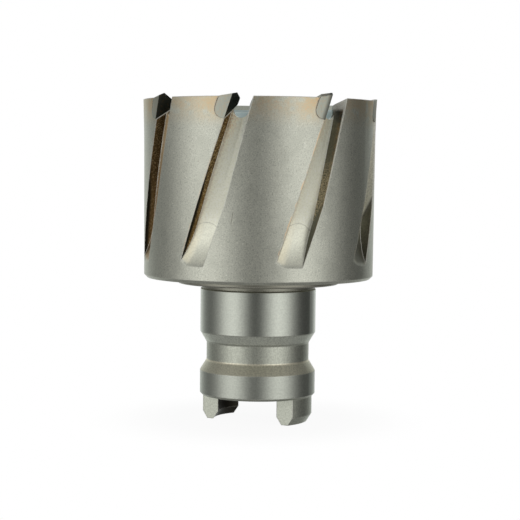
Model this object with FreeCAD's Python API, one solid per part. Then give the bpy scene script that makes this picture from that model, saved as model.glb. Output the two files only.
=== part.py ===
import FreeCAD, Part
import math
import os

# Annular cutter for a magnetic drill: a turned steel cup with a quick-change shank,
# helical flutes milled in its wall and brazed carbide tips round its rim.
# The row stands on its two drive tongues: +Z runs up the axis towards the teeth,
# z = 0 is the tongues' ends and +X runs through one tongue.
# Lengths are in millimetres and angles in degrees.

# Shank, from the tongues up to the cup
shank_radius = 16.0
tongue_length = 7.15
tongue_width = 11.8
tongue_outer_radius = 15.2
tongue_nose_radial = 1.3
tongue_nose_height = 2.1
collar_length = 6.8
collar_end_chamfer = 0.6
neck_radius = 14.2
neck_length = 4.85
lower_flank_length = 2.95
upper_flank_length = 3.05
upper_land_length = 12.05
undercut_depth = 0.4
undercut_length = 1.3
undercut_chamfer = 0.3
boss_radius = 22.45
boss_length = 1.55
boss_chamfer = 0.35

# Bores down the middle of the shank
counterbore_radius = 10.9
counterbore_depth = 12.0
pilot_bore_radius = 4.05
pilot_bore_chamfer = 0.6

# Cup: widest at the rim, so that it clears the hole it cuts
cup_height = 48.65
cup_gauge_radius = 31.85
rim_flare = 0.25
heel_relief = 0.2
rim_taper_length = 10.0
cup_heel_chamfer = 0.85
cup_wall = 4.0
rim_inward_drop = 1.6
rim_inner_chamfer = 0.5
end_wall = 5.6
cavity_corner_chamfer = 1.5

# Teeth: the steps round the rim differ so that the cutter doesn't chatter,
# and the pattern repeats after half a turn.
tooth_pitches = (42.8, 48.2, 44.6, 44.4)
first_tooth_angle = -117.6
repeats_per_turn = 2

# Flutes, with their edges measured at the gauge radius
flute_depth = 3.0
flute_end_land = 4.08
helix_angle = 19.53
rake_lead = 13.0
mouth_angle = 9.8
heel_helix_angle = 14.7
heel_run_helix_angle = 20.37
heel_knee_rise = 5.1
mill_radius = 25.0
facet_width = 2.4
facet_depth = 0.65

# Gullets, where the flute breaks through the wall under each tooth
gullet_drop = 5.5
gullet_overrun = 0.35

# Carbide tips and their brazed seats
tip_overhang = 0.5
tip_drop = 5.9
tip_thickness = 3.4
tip_bottom_slope = 38.0
tip_inner_reach = 4.85
tip_inner_taper = 0.15
tip_back_rounding = 2.0
tip_back_bevel = 15.0
tip_back_bevel_drop = 2.2
tip_top_clearance = 7.5
tip_side_clearance = 4.0
tip_grinding_stock = 1.5
braze_gap = 0.15
seat_entry = 0.3

# The four grinds of the tips: rise of the highest point over the rim, its distance in
# from the gauge radius, the drop from there to the outer edge and that to the inner.
grind_rises = (1.25, 0.98, 1.35, 0.6)
grind_peak_insets = (0.8, 2.0, 0.3, 0.3)
grind_outer_drops = (0.65, 0.35, 0.55, 0.05)
grind_inner_drops = (2.8, 1.45, 1.4, 0.9)

# Heights up the axis that follow from the lengths above
collar_z = tongue_length
lower_flank_z = collar_z + collar_length
neck_z = lower_flank_z + lower_flank_length
upper_flank_z = neck_z + neck_length
upper_land_z = upper_flank_z + upper_flank_length
undercut_z = upper_land_z + upper_land_length
boss_z = undercut_z + undercut_length
cup_z = boss_z + boss_length
rim_z = cup_z + cup_height
rim_radius = cup_gauge_radius + rim_flare
heel_radius = cup_gauge_radius - heel_relief
cutting_radius = cup_gauge_radius + tip_overhang
cavity_radius = cup_gauge_radius - cup_wall
cavity_z = cup_z + end_wall
counterbore_z = collar_z + counterbore_depth
floor_radius = cup_gauge_radius - flute_depth

# Drops below the rim of the run-out's start and of the heel wall's knee
runout_length = math.sqrt(mill_radius ** 2 - (mill_radius - flute_depth) ** 2)
runout_drop = cup_height - flute_end_land - runout_length
heel_knee_drop = runout_drop - heel_knee_rise

# How far cutting solids run past the faces that they cut, and into each other
past = 3.0
overlap = 1.0

# Distance under which two points count as one
same_point = 1e-6


def turned(corners):
    """Solid of revolution round the axis from (radius, height) corners."""
    points = [FreeCAD.Vector(radius, 0, height) for radius, height in corners]
    profile = Part.Face(Part.makePolygon(points + [points[0]]))
    return profile.revolve(FreeCAD.Vector(0, 0, 0), FreeCAD.Vector(0, 0, 1), 360)


def spun(shape, angle):
    """Copy of a shape turned about the axis."""
    copy = shape.copy()
    copy.rotate(FreeCAD.Vector(0, 0, 0), FreeCAD.Vector(0, 0, 1), angle)
    return copy


def turned_blank():
    """Cup and shank as they leave the lathe, with their bores."""
    undercut_radius = shank_radius - undercut_depth
    rim_inner_z = rim_z - rim_inward_drop
    return turned([
        (counterbore_radius, collar_z),
        (shank_radius - collar_end_chamfer, collar_z),
        (shank_radius, collar_z + collar_end_chamfer),
        (shank_radius, lower_flank_z),
        (neck_radius, neck_z),
        (neck_radius, upper_flank_z),
        (shank_radius, upper_land_z),
        (shank_radius, undercut_z - undercut_chamfer),
        (undercut_radius, undercut_z),
        (undercut_radius, boss_z),
        (boss_radius - boss_chamfer, boss_z),
        (boss_radius, boss_z + boss_chamfer),
        (boss_radius, cup_z),
        (heel_radius - cup_heel_chamfer, cup_z),
        (heel_radius, cup_z + cup_heel_chamfer),
        (cup_gauge_radius, rim_z - rim_taper_length),
        (rim_radius, rim_z),
        (cavity_radius + rim_inner_chamfer, rim_inner_z),
        (cavity_radius, rim_inner_z - rim_inner_chamfer),
        (cavity_radius, cavity_z + cavity_corner_chamfer),
        (cavity_radius - cavity_corner_chamfer, cavity_z),
        (pilot_bore_radius + pilot_bore_chamfer, cavity_z),
        (pilot_bore_radius, cavity_z - pilot_bore_chamfer),
        (pilot_bore_radius, counterbore_z),
        (counterbore_radius, counterbore_z),
    ])


def drive_tongues():
    """Two tongues on the shank's end, left by milling the ring away between them."""
    nose_inner = counterbore_radius + tongue_nose_radial
    nose_outer = tongue_outer_radius - tongue_nose_radial
    ring = turned([
        (counterbore_radius, tongue_nose_height),
        (nose_inner, 0),
        (nose_outer, 0),
        (tongue_outer_radius, tongue_nose_height),
        (tongue_outer_radius, collar_z),
        (counterbore_radius, collar_z),
    ])
    slab_length = 2 * shank_radius
    corner = FreeCAD.Vector(-slab_length / 2, -tongue_width / 2, 0)
    slab = Part.makeBox(slab_length, tongue_width, collar_z, corner)
    return ring.common(slab)


def wall_point(surface_angle, lean, depth, z):
    """Point on a flute wall, with lean positive where the wall leads inwards."""
    sideways = depth * math.tan(math.radians(lean))
    point = FreeCAD.Vector(cup_gauge_radius - depth, sideways, z)
    turn = FreeCAD.Rotation(FreeCAD.Vector(0, 0, 1), surface_angle)
    return turn.multVec(point)


def turn_over(drop, helix):
    """Angle that an edge with this helix turns through over a drop."""
    return math.degrees(drop * math.tan(math.radians(helix)) / cup_gauge_radius)


def rake_angle(drop):
    """Angle of the flute's cutting-side edge, from the tooth's own angle."""
    return -turn_over(drop, helix_angle)


def heel_angle(drop):
    """Angle of the flute's other edge above the knee."""
    return mouth_angle - turn_over(drop, heel_helix_angle)


def heel_run_angle(drop):
    """Angle of that edge below the knee, where the mill's side shows."""
    return heel_angle(heel_knee_drop) - turn_over(drop - heel_knee_drop, heel_run_helix_angle)


def heel_lean():
    """Lean that brings both heel surfaces together where the run-out starts."""
    gap_angle = heel_angle(runout_drop) - heel_run_angle(runout_drop)
    return -math.degrees(math.atan(floor_radius * math.tan(math.radians(gap_angle)) / flute_depth))


def flute_section(drop, depth, heel_edge, heel_wall_lean):
    """Horizontal section of a flute at a drop below the rim, with a crowned floor."""
    z = rim_z - drop
    rake = rake_angle(drop)
    foot = wall_point(rake, rake_lead, depth, z)
    along = FreeCAD.Rotation(FreeCAD.Vector(0, 0, 1), rake).multVec(FreeCAD.Vector(0, 1, 0))
    floor_start = foot + along * facet_width
    floor_end = wall_point(heel_edge, heel_wall_lean, depth, z)
    crown = (floor_start + floor_end) / 2
    crown.z = 0
    crown = crown.normalize() * (cup_gauge_radius - depth)
    crown.z = z
    points = [
        wall_point(rake, rake_lead, -past, z),
        wall_point(rake, rake_lead, depth - facet_depth, z),
        floor_start,
        crown,
        floor_end,
        wall_point(heel_edge, heel_wall_lean, -past, z),
    ]
    return Part.makePolygon(points + [points[0]])


def steps(start, end, count):
    """Evenly spaced values from start to end."""
    return [start + (end - start) * index / (count - 1) for index in range(count)]


def flute_channel():
    """Upper flute: even depth, opening out downwards as far as the knee."""
    lean = heel_lean()
    sections = []
    for drop in steps(-past, runout_drop, 7):
        sections.append(flute_section(drop, flute_depth, heel_angle(drop), lean))
    channel = Part.makeLoft(sections, True, False)
    guard_sections = []
    for drop in steps(heel_knee_drop - overlap, runout_drop + overlap, 5):
        edge = heel_run_angle(drop)
        z = rim_z - drop
        near_out = wall_point(edge, 0, -2 * past, z)
        near_in = wall_point(edge, 0, 2 * past, z)
        far_in = wall_point(edge + 2 * mouth_angle, 0, 2 * past, z)
        far_out = wall_point(edge + 2 * mouth_angle, 0, -2 * past, z)
        guard_sections.append(Part.makePolygon([near_out, near_in, far_in, far_out, near_out]))
    guard = Part.makeLoft(guard_sections, True, False)
    return channel.cut(guard)


def flute_runout():
    """Lower flute: the mill's round edge brings the floor back out to the surface."""
    sections = []
    for rise in steps(0, runout_length + overlap, 8):
        drop = runout_drop + rise
        lift = mill_radius - math.sqrt(mill_radius ** 2 - rise ** 2)
        sections.append(flute_section(drop, flute_depth - lift, heel_run_angle(drop), 0))
    return Part.makeLoft(sections, True, False)


def gullet():
    """Opening through the wall under a tooth, with a round bottom."""
    lean = heel_lean()
    reach = cup_wall + past
    outer_depth = flute_depth - facet_depth - gullet_overrun
    rake_foot = wall_point(rake_angle(gullet_drop / 2), rake_lead, flute_depth, 0)
    heel_foot = wall_point(heel_angle(gullet_drop / 2), lean, flute_depth, 0)
    round_radius = rake_foot.distanceToPoint(heel_foot) / 2
    centre_drop = gullet_drop - round_radius
    sections = []
    for drop in steps(-past, centre_drop, 3):
        z = rim_z - drop
        points = [
            wall_point(rake_angle(drop), rake_lead, outer_depth, z),
            wall_point(rake_angle(drop), rake_lead, reach, z),
            wall_point(heel_angle(drop), lean, reach, z),
            wall_point(heel_angle(drop), lean, outer_depth, z),
        ]
        sections.append(Part.makePolygon(points + [points[0]]))
    slot = Part.makeLoft(sections, True, False)
    rake_foot = wall_point(rake_angle(centre_drop), rake_lead, flute_depth, 0)
    heel_foot = wall_point(heel_angle(centre_drop), lean, flute_depth, 0)
    outward = (rake_foot + heel_foot).normalize()
    start = FreeCAD.Vector(0, 0, rim_z - centre_drop) + outward * (cup_gauge_radius - reach)
    bottom = Part.makeCylinder(round_radius, reach - outer_depth, start, outward)
    return slot.fuse(bottom)


def rake_frame():
    """Inward, upward and forward directions of a tooth's rake plane at angle 0."""
    helix = math.radians(helix_angle)
    lead = math.radians(rake_lead)
    inward = FreeCAD.Vector(-math.cos(lead), math.sin(lead), 0)
    upward = FreeCAD.Vector(0, math.sin(helix), math.cos(helix))
    forward = inward.cross(upward).normalize()
    return inward, upward, forward


def rake_point(inwards, rise, setback):
    """Point placed from the rim's edge along the rake plane and behind it."""
    inward, upward, forward = rake_frame()
    origin = FreeCAD.Vector(cup_gauge_radius, 0, rim_z)
    return origin + inward * inwards + upward * rise - forward * setback


def tip_block(grow, front, inner_extra):
    """Tip before its top is ground, grown behind and below by a braze gap.

    front is how far it stands ahead of the rake plane, and inner_extra how far it
    runs past the tip's own inner face.
    """
    forward = rake_frame()[2]
    slope = math.tan(math.radians(tip_bottom_slope))
    outer = -(tip_overhang + tip_grinding_stock)
    inner_top = tip_inner_reach + inner_extra
    inner_low = tip_inner_reach - tip_inner_taper + inner_extra
    below = tip_drop + grow / math.cos(math.radians(tip_bottom_slope))
    high = 2 * past
    points = [
        rake_point(outer, outer * slope - below, -front),
        rake_point(inner_low, inner_low * slope - below, -front),
        rake_point(inner_top, high, -front),
        rake_point(outer, high, -front),
    ]
    face = Part.Face(Part.makePolygon(points + [points[0]]))
    block = face.extrude(forward * -(front + tip_thickness + grow))
    block = round_back_edge(block, tip_back_rounding + grow)
    return block.cut(back_wedge(grow))


def round_back_edge(block, rounding):
    """Round the edge between a tip's back and bottom faces."""
    inward, upward, forward = rake_frame()
    low_back = min(block.Vertexes, key=lambda v: v.Point.dot(upward) + v.Point.dot(forward))
    slope = math.radians(tip_bottom_slope)
    along = inward * math.cos(slope) + upward * math.sin(slope)
    for edge in block.Edges:
        ends = [vertex.Point for vertex in edge.Vertexes]
        touches = min(point.distanceToPoint(low_back.Point) for point in ends) < same_point
        direction = (ends[1] - ends[0]).normalize()
        if touches and abs(direction.dot(along)) > 0.999:
            return block.makeFillet(rounding, [edge])
    return block


def back_wedge(grow):
    """Wedge that slants a tip's back face forwards above its bevel."""
    inward = rake_frame()[0]
    bevel = math.radians(tip_back_bevel)
    back = tip_thickness + grow
    low = grow * math.tan(bevel / 2) - tip_back_bevel_drop
    high = 3 * past
    points = [
        rake_point(-past, low, back),
        rake_point(-past, low, back + past),
        rake_point(-past, high, back + past),
        rake_point(-past, high, back - (high - low) * math.tan(bevel)),
    ]
    face = Part.Face(Part.makePolygon(points + [points[0]]))
    return face.extrude(inward * (tip_inner_reach + 3 * past))


def top_grinding(grind):
    """Metal that the grinding wheel takes off over a tip, falling towards its back."""
    rise = grind_rises[grind]
    peak_in = grind_peak_insets[grind]
    outer_drop = grind_outer_drops[grind]
    inner_drop = grind_inner_drops[grind]
    upward, forward = rake_frame()[1:]
    fall_rate = math.tan(math.radians(helix_angle + tip_top_clearance))
    outer_slope = outer_drop / (peak_in + tip_overhang)
    inner_slope = inner_drop / (tip_inner_reach - peak_in)
    outer = -(tip_overhang + 2 * tip_grinding_stock)
    inner = tip_inner_reach + 2 * past
    ahead = fall_rate * past
    points = [
        rake_point(outer, rise + ahead - outer_slope * (peak_in - outer), -past),
        rake_point(peak_in, rise + ahead, -past),
        rake_point(inner, rise + ahead - inner_slope * (inner - peak_in), -past),
        rake_point(inner, 5 * past, -past),
        rake_point(outer, 5 * past, -past),
    ]
    face = Part.Face(Part.makePolygon(points + [points[0]]))
    backward = (forward + upward * fall_rate) * -1
    return face.extrude(backward * (tip_thickness + 3 * past))


def tip_envelope():
    """Outer limit of a tip: round the axis at the edge and relieved behind it."""
    sideways = cutting_radius * math.tan(math.radians(tip_side_clearance))
    radius = math.hypot(cutting_radius, sideways)
    start = FreeCAD.Vector(0, sideways, rim_z - 3 * tip_drop)
    return Part.makeCylinder(radius, 5 * tip_drop, start, FreeCAD.Vector(0, 0, 1))


def carbide_tip(grind):
    """One carbide tip at angle 0."""
    return tip_block(0, 0, 0).cut(top_grinding(grind)).common(tip_envelope())


def tooth_angles():
    """Angle of every tooth round the rim."""
    angles = []
    angle = first_tooth_angle
    for _ in range(repeats_per_turn):
        for pitch in tooth_pitches:
            angles.append(angle)
            angle += pitch
    return angles


def build():
    """Solids of the cutter by node name."""
    body = turned_blank().fuse(drive_tongues())
    flute = flute_channel().fuse(flute_runout())
    opening = gullet()
    for angle in tooth_angles():
        body = body.cut(spun(flute, angle))
        body = body.cut(spun(opening, angle))
    nodes = {}
    for index, angle in enumerate(tooth_angles()):
        grind = index % len(grind_rises)
        seat = spun(tip_block(braze_gap, 0, past), angle)
        entry = spun(tip_block(braze_gap, seat_entry, past), angle)
        tip = spun(carbide_tip(grind), angle)
        seam = body.common(seat).cut(tip).cut(spun(top_grinding(grind), angle))
        body = body.cut(entry)
        nodes["carbide_tip_%d" % (index + 1)] = tip
        nodes["braze_seam_%d" % (index + 1)] = max(seam.Solids, key=lambda s: s.Volume)
    nodes["cutter_body"] = body.removeSplitter()
    return nodes


def main():
    """Write each node to its own file."""
    os.makedirs("parts", exist_ok=True)
    for name, shape in build().items():
        solid = shape.Solids[0]
        print(name, len(shape.Solids), "solids", round(shape.Volume, 2), shape.isValid())
        solid.exportStep("parts/%s.step" % name)


main()
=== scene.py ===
"""Annular cutter in bead-blasted steel with brazed carbide tips, on a plain white floor.

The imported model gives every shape. This file gives the finishes, the light and the camera.
Lengths are in millimetres until they reach Blender, which works in metres. Angles are in degrees.
"""

from __future__ import annotations

import logging
import math
from dataclasses import dataclass, field
from enum import Enum

import bpy
from mathutils import Euler, Matrix, Vector


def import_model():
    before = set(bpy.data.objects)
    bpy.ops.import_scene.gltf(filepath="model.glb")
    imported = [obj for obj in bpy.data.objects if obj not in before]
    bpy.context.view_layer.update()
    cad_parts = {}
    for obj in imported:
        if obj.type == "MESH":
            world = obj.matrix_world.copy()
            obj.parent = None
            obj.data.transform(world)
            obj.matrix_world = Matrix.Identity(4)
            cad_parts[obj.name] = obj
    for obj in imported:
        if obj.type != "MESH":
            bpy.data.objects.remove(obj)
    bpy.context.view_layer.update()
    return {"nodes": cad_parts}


Colour = tuple[float, float, float]
Span = tuple[float, float]
Stretch = tuple[float, float, float]
Socket = bpy.types.NodeSocket

MM = 0.001
FULL_TURN = 360.0
HALF_TURN = 180.0
QUARTER_TURN = 90.0
WHITE: Colour = (1.0, 1.0, 1.0)
NOISE_MIDDLE = 0.5

log = logging.getLogger("annular_cutter")


def shifted(base: float, span: Span) -> Span:
    """A span moved along by a base value."""
    return base + span[0], base + span[1]


class Blend(Enum):
    """Ways of laying one colour over another."""

    MIX = "MIX"
    MULTIPLY = "MULTIPLY"


class Facing(Enum):
    """Ways in which a tinted band of the shank faces."""

    ANY = "any"
    OUTWARD = "outward"
    DOWNWARD = "downward"


class Number:
    """A number in a shader, on which Python's operators add Math nodes."""

    def __init__(self, graph: Graph, socket: Socket) -> None:
        """Wrap a socket.

        Args:
            graph: The graph that the socket belongs to.
            socket: The output socket that carries the number.
        """
        self.graph = graph
        self.socket = socket

    def _math(self, operation: str, *values: Number | float) -> Number:
        """Add a Math node.

        Args:
            operation: The Math node's operation.
            values: Its inputs, in order.

        Returns:
            The node's result.
        """
        inputs = dict(enumerate(values))
        node = self.graph.node("ShaderNodeMath", {"operation": operation}, inputs)
        return Number(self.graph, node.outputs[0])

    def __add__(self, other: Number | float) -> Number:
        """Sum."""
        return self._math("ADD", self, other)

    def __radd__(self, other: float) -> Number:
        """Reflected sum."""
        return self._math("ADD", other, self)

    def __sub__(self, other: Number | float) -> Number:
        """Difference."""
        return self._math("SUBTRACT", self, other)

    def __rsub__(self, other: float) -> Number:
        """Reflected difference."""
        return self._math("SUBTRACT", other, self)

    def __mul__(self, other: Number | float) -> Number:
        """Product."""
        return self._math("MULTIPLY", self, other)

    def __rmul__(self, other: float) -> Number:
        """Reflected product."""
        return self._math("MULTIPLY", other, self)

    def __truediv__(self, other: Number | float) -> Number:
        """Quotient."""
        return self._math("DIVIDE", self, other)

    def __pow__(self, power: float) -> Number:
        """Power."""
        return self._math("POWER", self, power)

    def __abs__(self) -> Number:
        """Size without the sign."""
        return self._math("ABSOLUTE", self)

    def arctan2(self, other: Number) -> Number:
        """Angle in radians whose opposite side is this and whose near side is other."""
        return self._math("ARCTAN2", self, other)

    def wrapped(self, low: float, high: float) -> Number:
        """The number brought into the range from low to high by whole turns of it."""
        return self._math("WRAP", self, high, low)

    def most(self, other: Number | float) -> Number:
        """The larger of the two."""
        return self._math("MAXIMUM", self, other)

    def ramp(self, low: float, high: float) -> Number:
        """Smooth step from 0 at low to 1 at high; low may be the larger.

        Args:
            low: Where the step starts.
            high: Where it ends.

        Returns:
            The step's height.
        """
        falling = low > high
        node = self.graph.node(
            "ShaderNodeMapRange",
            {"interpolation_type": "SMOOTHSTEP"},
            {
                "Value": self,
                "From Min": min(low, high),
                "From Max": max(low, high),
                "To Min": 1.0 if falling else 0.0,
                "To Max": 0.0 if falling else 1.0,
            },
        )
        return Number(self.graph, node.outputs["Result"])

    def band(self, low: float, high: float, soft: float) -> Number:
        """1 between low and high, with soft edges.

        Args:
            low: Lower end of the band.
            high: Upper end of the band.
            soft: Width of each edge.

        Returns:
            The band's height.
        """
        half = soft / 2
        return self.ramp(low - half, low + half) * self.ramp(high + half, high - half)



class Graph:
    """Node tree of one material or of the world."""

    def __init__(self, tree: bpy.types.NodeTree) -> None:
        """Start with an empty tree.

        Args:
            tree: The tree to fill.
        """
        self.tree = tree
        tree.nodes.clear()

    def node(
        self,
        kind: str,
        settings: dict[str, object] | None = None,
        inputs: dict[str | int, object] | None = None,
    ) -> bpy.types.Node:
        """Add a node, set it up and then fill its inputs.

        Args:
            kind: The node's type.
            settings: Its settings; "stops" gives a colour ramp's stops.
            inputs: Values or links for its sockets, by name or place.

        Returns:
            The new node.
        """
        node = self.tree.nodes.new(kind)
        for name, value in (settings or {}).items():
            if name == "stops":
                self._set_stops(node.color_ramp, value)
            else:
                setattr(node, name, value)
        for key, value in (inputs or {}).items():
            self._fill(node.inputs[key], value)
        return node

    @staticmethod
    def _set_stops(ramp: bpy.types.ColorRamp, stops: list[tuple[float, Colour]]) -> None:
        """Give a colour ramp its stops.

        Args:
            ramp: The ramp to set.
            stops: Position and colour of each stop, in rising order.
        """
        while len(ramp.elements) < len(stops):
            ramp.elements.new(1.0)
        for element, (position, colour) in zip(ramp.elements, stops):
            element.position = position
            element.color = (*colour, 1.0)

    def _fill(self, socket: Socket, value: object) -> None:
        """Link a socket or set its value.

        Args:
            socket: The input to fill.
            value: A Number, a socket, a colour, a vector or a plain number.
        """
        if isinstance(value, Number):
            value = value.socket
        if isinstance(value, Socket):
            self.tree.links.new(value, socket)
        elif isinstance(value, tuple) and socket.type == "RGBA":
            socket.default_value = (*value, 1.0)
        else:
            socket.default_value = value

    def number(self, node: bpy.types.Node, output: str | int = 0) -> Number:
        """A node's output as a Number."""
        return Number(self, node.outputs[output])

    def mix(
        self,
        factor: Number | float,
        under: Socket | Colour,
        over: Socket | Colour,
        blend: Blend = Blend.MIX,
    ) -> Socket:
        """Lay one colour over another.

        Args:
            factor: How much of the upper colour shows.
            under: The lower colour.
            over: The upper colour.
            blend: How the two are put together.

        Returns:
            The mixed colour.
        """
        node = self.node(
            "ShaderNodeMix",
            {"data_type": "RGBA", "blend_type": blend.value, "clamp_factor": True},
            {"Factor": factor, 6: under, 7: over},
        )
        return node.outputs[2]

    def noise(
        self,
        place: Socket,
        grain: float,
        detail: float = 2.0,
        stretch: Stretch = (1.0, 1.0, 1.0),
    ) -> Number:
        """Cloudy noise about its middle value.

        Args:
            place: Position in metres.
            grain: Size of the clouds in millimetres.
            detail: Number of finer layers.
            stretch: How much finer the clouds are along each axis.

        Returns:
            The noise.
        """
        scaled = self.node(
            "ShaderNodeVectorMath", {"operation": "MULTIPLY"}, {0: place, 1: stretch}
        )
        node = self.node(
            "ShaderNodeTexNoise",
            {"noise_dimensions": "3D"},
            {"Vector": scaled.outputs[0], "Scale": 1.0 / (grain * MM), "Detail": detail},
        )
        return self.number(node, "Fac")


@dataclass(frozen=True)
class ToothPattern:
    """The source's driving sizes of the cup, its teeth and its flutes.

    The teeth's pitches repeat after half a turn. The middle is how far past a cutting edge the
    middle of the stretch that counts as its own lies.
    """

    cup_foot: float = 39.7
    cup_height: float = 48.65
    cup_radius: float = 31.85
    cup_wall: float = 4.0
    flute_depth: float = 3.0
    flute_end_land: float = 4.08
    mill_radius: float = 25.0
    helix_angle: float = 19.53
    first_angle: float = -117.6
    pitches: tuple[float, ...] = (42.8, 48.2, 44.6, 44.4)
    middle: float = 5.0

    @property
    def rim_height(self) -> float:
        """Height of the rim."""
        return self.cup_foot + self.cup_height

    @property
    def cavity_radius(self) -> float:
        """Radius of the cavity in the cup."""
        return self.cup_radius - self.cup_wall

    @property
    def exit_height(self) -> float:
        """Height at which the flutes' floors come out of the cup."""
        return self.cup_foot + self.flute_end_land

    @property
    def runout_height(self) -> float:
        """Height at which the milling cutter starts to leave the flutes."""
        return self.exit_height + math.sqrt(
            self.mill_radius**2 - (self.mill_radius - self.flute_depth) ** 2
        )

    @property
    def helix_rate(self) -> float:
        """Degrees that the flutes turn for each millimetre of height."""
        return math.degrees(math.tan(math.radians(self.helix_angle)) / self.cup_radius)

    def angles(self) -> list[float]:
        """Angle of each tooth in the first half turn."""
        angles = [self.first_angle]
        for pitch in self.pitches[:-1]:
            angles.append(angles[-1] + pitch)
        return angles


class SurfacePlace:
    """Place and facing of a surface point round the cutter's axis."""

    def __init__(self, graph: Graph) -> None:
        """Add the nodes that give the place.

        Args:
            graph: The material's graph.
        """
        coordinates = graph.node("ShaderNodeTexCoord")
        self.graph = graph
        self.position = coordinates.outputs["Object"]
        facing = coordinates.outputs["Normal"]
        x, y, z = self._parts(self.position)
        self.height = z * (1 / MM)
        flat = (x * x + y * y) ** 0.5
        self.radius = flat * (1 / MM)
        self.angle = y.arctan2(x) * math.degrees(1.0)
        facing_x, facing_y, facing_z = self._parts(facing)
        self.outward = (facing_x * x + facing_y * y) / flat
        self.forward = (facing_y * x - facing_x * y) / flat
        self.upward = facing_z

    def _parts(self, vector: Socket) -> list[Number]:
        """The three parts of a vector."""
        node = self.graph.node("ShaderNodeSeparateXYZ", None, {0: vector})
        return [self.graph.number(node, index) for index in range(3)]

    def past_edge(self, teeth: ToothPattern) -> Number:
        """Degrees past the nearest tooth's cutting edge, following the helix.

        Args:
            teeth: The pattern of teeth.

        Returns:
            The angle, positive inside the flute and negative on the land behind.
        """
        unwound = self.angle + (teeth.rim_height - self.height) * teeth.helix_rate
        nearest = None
        for angle in teeth.angles():
            past = (unwound - angle - teeth.middle).wrapped(-QUARTER_TURN, QUARTER_TURN)
            if nearest is None:
                nearest = past
                continue
            closer = self.graph.number(
                self.graph.node(
                    "ShaderNodeMath", {"operation": "LESS_THAN"}, {0: abs(past), 1: abs(nearest)}
                )
            )
            nearest = nearest + (past - nearest) * closer
        return nearest + teeth.middle


@dataclass(frozen=True)
class SurfaceLimits:
    """Where the masks of the cup's surfaces fade in, and the size of their noises.

    Heights are counted from the cup's foot or the flutes' exit, radii from the cavity's, and
    depths inward from the cup's outside.
    """

    above_foot: Span = (1.5, 2.5)
    off_cavity: Span = (0.1, 0.6)
    floor_depths: Span = (0.25, 0.75)
    floor_facing: Span = (0.6, 0.85)
    rake_facing: Span = (0.55, 0.8)
    heel_facing: Span = (-0.55, -0.8)
    slant_facing: Span = (-0.12, -0.3)
    lip_facing: Span = (-0.15, -0.35)
    high_drops: Span = (16.0, 5.0)
    above_exit: float = 4.0
    by_rake_past: Span = (7.0, 1.5)
    cloud_grain: float = 0.9
    cloud_detail: float = 3.0
    speck_grain: float = 0.38
    speck_detail: float = 2.0


class FlutePlace:
    """Place of a surface point on the toothed cup, with a mask of each kind of surface."""

    def __init__(self, graph: Graph, teeth: ToothPattern) -> None:
        """Add the nodes that give the place and the masks.

        Args:
            graph: The material's graph.
            teeth: The pattern of teeth.
        """
        limits = SurfaceLimits()
        place = SurfacePlace(graph)
        self.graph = graph
        self.teeth = teeth
        self.place = place
        self.past = place.past_edge(teeth)
        self.drop = teeth.rim_height - place.height
        self.depth = teeth.cup_radius - place.radius
        self.round_rim = place.angle + self.drop * teeth.helix_rate
        self.high = self.drop.ramp(*limits.high_drops)
        self.low = place.height.ramp(teeth.runout_height, teeth.exit_height + limits.above_exit)
        off_cavity = place.radius.ramp(*shifted(teeth.cavity_radius, limits.off_cavity))
        above_foot = place.height.ramp(*shifted(teeth.cup_foot, limits.above_foot))
        self.on_cup = above_foot * off_cavity
        deep = self.depth.ramp(*limits.floor_depths)
        self.floor = deep * self.on_cup * place.outward.ramp(*limits.floor_facing)
        self.by_rake = self.past.ramp(*limits.by_rake_past) * self.floor
        self.rake_wall = place.forward.ramp(*limits.rake_facing) * self.on_cup
        self.heel_wall = place.forward.ramp(*limits.heel_facing) * self.on_cup
        self.slant = place.forward.ramp(*limits.slant_facing) * self.on_cup
        self.lip = place.forward.ramp(*limits.lip_facing) * self.on_cup
        self.cloud = graph.noise(place.position, limits.cloud_grain, limits.cloud_detail)
        self.specks = graph.noise(place.position, limits.speck_grain, limits.speck_detail)


class Layer:
    """A tint, stain or heat colour on some surfaces of the body."""

    def lay(self, flute: FlutePlace, colour: Socket) -> Socket:
        """Lay the layer over the colour so far.

        Args:
            flute: The surface's place on the cup.
            colour: The colour so far.

        Returns:
            The colour with the layer's.
        """
        raise NotImplementedError


@dataclass(frozen=True)
class Mottle:
    """Noise that lets a second colour show in grains or clouds.

    The grain is the noise's size, the detail its number of finer layers, and the colour shows
    fully at the second end of its span.
    """

    colour: Colour
    grain: float
    detail: float
    shows: Span
    share: float

    def lay(self, graph: Graph, place: SurfacePlace, colour: Socket | Colour) -> Socket:
        """Lay the grains over the colour so far.

        Args:
            graph: The material's graph.
            place: The surface's place.
            colour: The colour so far.

        Returns:
            The colour with the grains.
        """
        noise = graph.noise(place.position, self.grain, self.detail)
        return graph.mix(noise.ramp(*self.shows) * self.share, colour, self.colour)


@dataclass(frozen=True)
class BlastedSteel:
    """Bead-blasted nickel-grey steel of the cup and the shank's unground parts."""

    colour: Colour = (0.66, 0.67, 0.575)
    pale_grain: Mottle = Mottle((0.78, 0.785, 0.68), 0.3, 3.0, (0.52, 0.68), 1.0)
    dark_grain: Mottle = Mottle((0.50, 0.51, 0.435), 0.3, 3.0, (0.48, 0.32), 1.0)
    clouds: Mottle = Mottle((0.50, 0.51, 0.435), 6.0, 2.0, (0.45, 0.3), 0.25)
    pits: Mottle = Mottle((0.40, 0.38, 0.32), 0.9, 1.0, (0.78, 0.81), 0.6)
    # Painted glints: near-white specks painted into the colour as highlights.
    glints: Mottle = Mottle((1.0, 1.0, 0.90), 0.5, 1.0, (0.69, 0.76), 0.5)

    def colours(self, graph: Graph, place: SurfacePlace) -> Socket:
        """Grain, soft mottling, pits and painted glints of the blasted skin.

        Args:
            graph: The material's graph.
            place: The surface's place.

        Returns:
            The colour.
        """
        colour = self.colour
        for mottle in (self.pale_grain, self.dark_grain, self.clouds, self.pits, self.glints):
            colour = mottle.lay(graph, place, colour)
        return colour


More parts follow.
